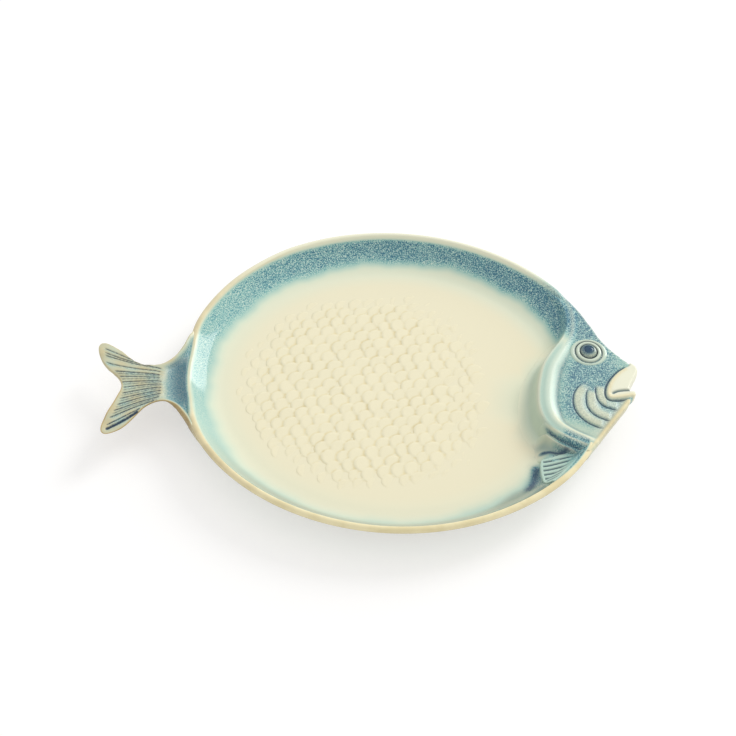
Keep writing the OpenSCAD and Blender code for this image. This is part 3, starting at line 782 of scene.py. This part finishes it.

# Its glaze: thick blue on cheek and forehead, pale over what stands up, dark in what is cut. A highlight is
# painted along the gill cover's crest, and shade on its outer slope and foot and beside the breast fin.
creased, raised = creased * cheek, raised * cheek
in_well = side < 0
behind_lips = x < 134
on_roll = ease(0.24, 0.4, share)
lower = ease(0.74, 0.82, share)
gully = bell(ridge_side - 2.0, 1.2) * ease(0.15, 0.4, ridge_share) * in_well * lower
hollow = bell(flap_side + 4, 4.5) * ease(0, 0.3, flap_share) * in_well
groove = bell(across + roll_end, 1.7) * between(0.3, 0.5, 0.93, 1, share)
# Pale along the gill cover's crest: glaze breaking over it, brightened as a painted highlight, most on its
# lower run.
crest_line = bell(across + 1, 2.6)
margin = bell(across - 6, 1.2) * ease(0.3, 0.45, share) * (1 - lower)
ridge = bell(ridge_side, 0.8) * between(0.1, 0.35, 0.9, 1, ridge_share)
flap = bell(flap_side, 0.9) * between(0, 0.3, 0.8, 1, flap_share)
ridges = np.maximum(ridge, flap)
chin_slim = 1 + (chin_side > 0) * (1 - ease(0.12, 0.6, chin_share))
chin = bell(chin_side * chin_slim, 2.2) * (1 - ease(0.97, 1, chin_share))
chin_pale = bell(np.maximum(chin_side, 0), 6) * (chin_side < 12)
chin_pale = chin_pale * ease(0.15, 0.5, chin_share) * (chin_share < 0.98)
brow_side, brow_share = along(brow_edge, x, y)
brow = bell(brow_side, 1.2) * (brow_share < 0.95)
# Painted shadow of the gill cover on the floor at its foot.
gill_foot_shadow = gill_shade(x, y)
# Dark glaze pooled by the breast fin, with painted shade under its free end.
fin_pool_shade = fin_pools_and_shade(x, y) * in_well
cheek_blue = 0.84 + 0.05 * ease(15, 35, y) - 0.25 * ease(138, 152, x) - 0.14 * ease(-40, -55, y)
cheek_blue = cheek_blue - 0.2 * (1 - ease(7, 16, side)) * on_roll
roll_blue = 0.5 * on_roll + 0.85 * (1 - on_roll)
# The roll's outer slope and the floor at its foot are blued as painted shade, over thin blue glaze.
well_blue = most(wall_coat(x, y), 0.47 * (1 - ease(6, 14, -side)) * on_roll, 0.5 * hollow)
blue = np.where(side > 0, roll_blue + (cheek_blue - roll_blue) * ease(3.5, 7.5, side), well_blue)
blue = np.maximum(blue, 0.52 * gully) * (1 - 0.5 * raised)
olive = 0.1 * ease(-38, -58, y) * (side > 0) + 0.07 * (side > 4) + 0.16 * raised * behind_lips
glaze(head,
      blue=most(blue, 0.95 * crease, fin_pool_shade),
      pool=most(1.1 * creased, 0.06 * gully, 0.55 * crease, 0.85 * fin_pool_shade, 0.4 * groove, 0.34 * hollow,
                0.06 * gill_foot_shadow),
      pale=most(raised, crest_line * (0.12 + 0.32 * on_roll + 0.22 * lower), 0.6 * margin, 0.34 * ridges,
                0.5 * chin_pale, 0.34 * brow),
      tan=most(0.85 * chin, 0.28 * ridges, crest_line * (0.1 * (1 - on_roll) + 0.22 * lower),
               0.6 * lip_edge * cheek, 0.06 * margin, 0.55 * raised * behind_lips),
      gold=most(olive, 0.16 * gill_foot_shadow, 0.2 * hollow))
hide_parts("head", "chin_edge", "throat", "gill_cover", "gill_flap", "cheek_fold_outer",
            "cheek_fold_middle", "cheek_fold_inner", "upper_lip", "lower_lip")
set_down(head, soft_glaze)

# Breast fin. A small level fan of clay pressed on to the wall behind the gill flap, its rays scored
# with a tool. Its free end stands clear of the floor; dark glaze gathers under it, and shade is painted
# there on the dish and head.
fin_thick, fin_up = 5, 17.2
fin_outline = smooth_path([
    (86.6, -78), (88, -74.6), (93.5, -72.6), (101, -71), (109, -70.3), (116, -71.6), (113.5, -76.4),
    (109, -83), (104, -89), (98.5, -94.8), (93.5, -98), (89.5, -97.2), (87.2, -94), (86.2, -88.5),
    (86.2, -82), (86.6, -78)])[:-1]
fin_rays = [[(88, -76.6), (111, -73.4)], [(87.6, -80.4), (109, -76.6)], [(87.4, -84), (106, -80.6)],
            [(87.4, -87.6), (103, -84.8)], [(87.8, -91), (100, -89)], [(88.6, -94), (97, -92.8)]]
breast_fin = clay_slab("breast_fin", fin_outline, fin_thick, grain=0.7, passes=4)
spots, x, y, level = slab_places(breast_fin, fin_thick)
out = np.hypot(x, y)
line = np.zeros(len(x))
for points in fin_rays:
    side, share = along(np.array(points, float), x, y)
    line = np.maximum(line, bell(side, 0.6) * between(0, 0.05, 0.7, 1, share))
under = dish_top(np.minimum(out, 134)) - 1
top = fin_up + 2.6 * ease(90, 112, x) - 0.8 * line
spots[:, 2] = under + (np.maximum(top, under + 1.4) - under) * level
shape(breast_fin, spots)
fin_root = bell(np.hypot(x - 110, 1.5 * (y + 74)), 4)
glaze(breast_fin,
      blue=0.5 + 0.18 * ease(100, 112, x),
      pool=np.maximum(line, 0.5 * fin_root),
      pale=0.14 * (1 - ease(98, 108, x)))
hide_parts("breast_fin")
set_down(breast_fin, soft_glaze)

# Eye. A pad, a raised ring and a ball with a sunk pupil, turned as small discs and pressed one into
# the next. The glaze breaks pale over their edges, and lies dark in the grooves and the pupil.
eye_x, eye_y, eye_up = 128.9, 15.2, face_up + 0.5
ring_r, ball_r, pupil_r, eye_foot = 9.9, 6.4, 3.5, -2
eye_tilt = Matrix.Translation((eye_x, eye_y, eye_up)) @ Matrix.Rotation(math.radians(2), 4, "X")
eye_parts = {
    "eye_socket": [(12.6, eye_foot), (12.4, -0.3), (11.9, 0.15), (11.2, 0.4), (10.6, 0.3), (10.1, -0.2),
                   (ring_r, -0.8), (ring_r, eye_foot)],
    "eye_ring": [(ring_r, eye_foot), (9.8, -0.5), (9.4, 0.4), (8.7, 1.0), (7.8, 1.2), (7.1, 1),
                 (6.6, 0.4), (ball_r, -0.3), (ball_r, eye_foot)],
    "eye_ball": [(ball_r, eye_foot), (6.3, 0), (6, 0.9), (5.5, 1.6), (4.8, 2.1), (4.1, 2.4), (3.6, 2.5),
                 (pupil_r, 2.3), (pupil_r, eye_foot)],
    "eye_pupil": [(pupil_r, eye_foot), (pupil_r, 2.3), (2.9, 2.5), (1.6, 2.7), (0, 2.75), (0, eye_foot)]}
for name, section in eye_parts.items():
    part = turned(name, section, 64)
    spots = places(part)
    ring = np.hypot(spots[:, 0], spots[:, 1])
    grooves = np.maximum(bell(ring - ring_r, 0.5), bell(ring - ball_r, 0.55))
    dark = 1 - ease(2.4, 6.6, ring + 0.12 * spots[:, 0] - 0.14 * spots[:, 1])
    pale = np.where(ring > 9.8, 0.38, np.where(ring > ball_r, 0.42, 0.06))
    glaze(part,
          blue=np.where(ring < ball_r, 0.7, 0.45),
          pool=np.maximum(grooves, dark),
          pale=pale * (1 - dark) * (1 - 0.8 * ease(10.6, 12.2, ring)),
          gold=0.3 * (ring < ball_r) * (1 - dark) + 0.06)
    spots[:, 0] *= 0.88 + 0.1 * ease(9.6, 12.6, ring)
    shape(part, spots)
    part.data.transform(eye_tilt)
    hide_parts(name)
    set_down(part, running_glaze)

# Table. A plain white sheet laid flat under the plate. To the camera it is white with a pale shadow,
# and the glaze sees it as paper.
bpy.ops.object.select_all(action="DESELECT")
bpy.ops.mesh.primitive_plane_add(size=8)
table = bpy.context.object
table.name = "table"
sheet = bpy.data.materials.new("white_sheet")
sheet.use_nodes = True
tree = sheet.node_tree
tree.nodes.clear()
seen = put(tree, "LightPath").outputs["Is Camera Ray"]
paper = put(tree, "BsdfDiffuse", {"Color": (0.88, 0.87, 0.86, 1)}).outputs[0]
shade = put(tree, "BsdfDiffuse", {"Color": (0.5, 0.5, 0.5, 1)}).outputs[0]
glow = put(tree, "Emission", {"Color": (1, 0.985, 0.97, 1), "Strength": 0.55}).outputs[0]
lit = put(tree, "AddShader", {0: shade, 1: glow}).outputs[0]
put(tree, "OutputMaterial", {"Surface": put(tree, "MixShader", {0: seen, 1: paper, 2: lit}).outputs[0]})
table.data.materials.append(sheet)

# Light. A bright white room, soft daylight from behind on the right, and the window it comes through,
# which shows in the glaze.
world = bpy.data.worlds.new("room")
bpy.context.scene.world = world
world.use_nodes = True
tree = world.node_tree
ray = put(tree, "LightPath").outputs
seen = maths(tree, "MAXIMUM", ray["Is Camera Ray"], ray["Is Transmission Ray"])
room = tree.nodes["Background"]
room.inputs["Color"].default_value = (1, 1, 1, 1)
tree.links.new(wash_value(tree, seen, 0.73, 1.0), room.inputs["Strength"])
window_way = Vector((0.691, 0.644, 0.327)).normalized()
window_up = Vector((-0.453, 0.033, 0.89)).normalized()
bpy.ops.object.light_add(type="AREA", location=1.5 * window_way)
window = bpy.context.object
window.data.shape = "RECTANGLE"
window.data.size = 0.55
window.data.size_y = 1.09
window.data.energy = 7.5
window_axes = Matrix((window_up.cross(window_way), window_up, window_way))
window.rotation_euler = window_axes.transposed().to_euler()
bpy.ops.object.light_add(type="SUN")
daylight = bpy.context.object
daylight.data.energy = 0.9
daylight.data.angle = 0.4
daylight.visible_glossy = False
daylight.rotation_euler = Vector((0.6, 0.5, 0.62)).to_track_quat("Z", "Y").to_euler()

# Camera. A long lens in front of the plate and above it, as for a catalogue picture, held a little
# to the left and not quite level.
camera_data = bpy.data.cameras.new("camera")
camera_data.sensor_width = 36
camera_data.lens = 98.61
camera = bpy.data.objects.new("camera", camera_data)
bpy.context.scene.collection.objects.link(camera)
bpy.context.scene.camera = camera
camera_at = (-0.085341, -0.94433, 0.917089)
swing, height, roll = math.radians(-5.1), math.radians(43.1775), math.radians(2.8153)
back = np.array([math.sin(swing) * math.cos(height), -math.cos(swing) * math.cos(height), math.sin(height)])
right = np.array([math.cos(swing), math.sin(swing), 0])
up = np.cross(back, right)
rolled_right = right * math.cos(roll) + up * math.sin(roll)
rolled_up = up * math.cos(roll) - right * math.sin(roll)
camera_axes = Matrix(np.array([rolled_right, rolled_up, back]).T.tolist()).to_4x4()
camera.matrix_world = Matrix.Translation(camera_at) @ camera_axes
bpy.context.scene.view_settings.view_transform = "Standard"
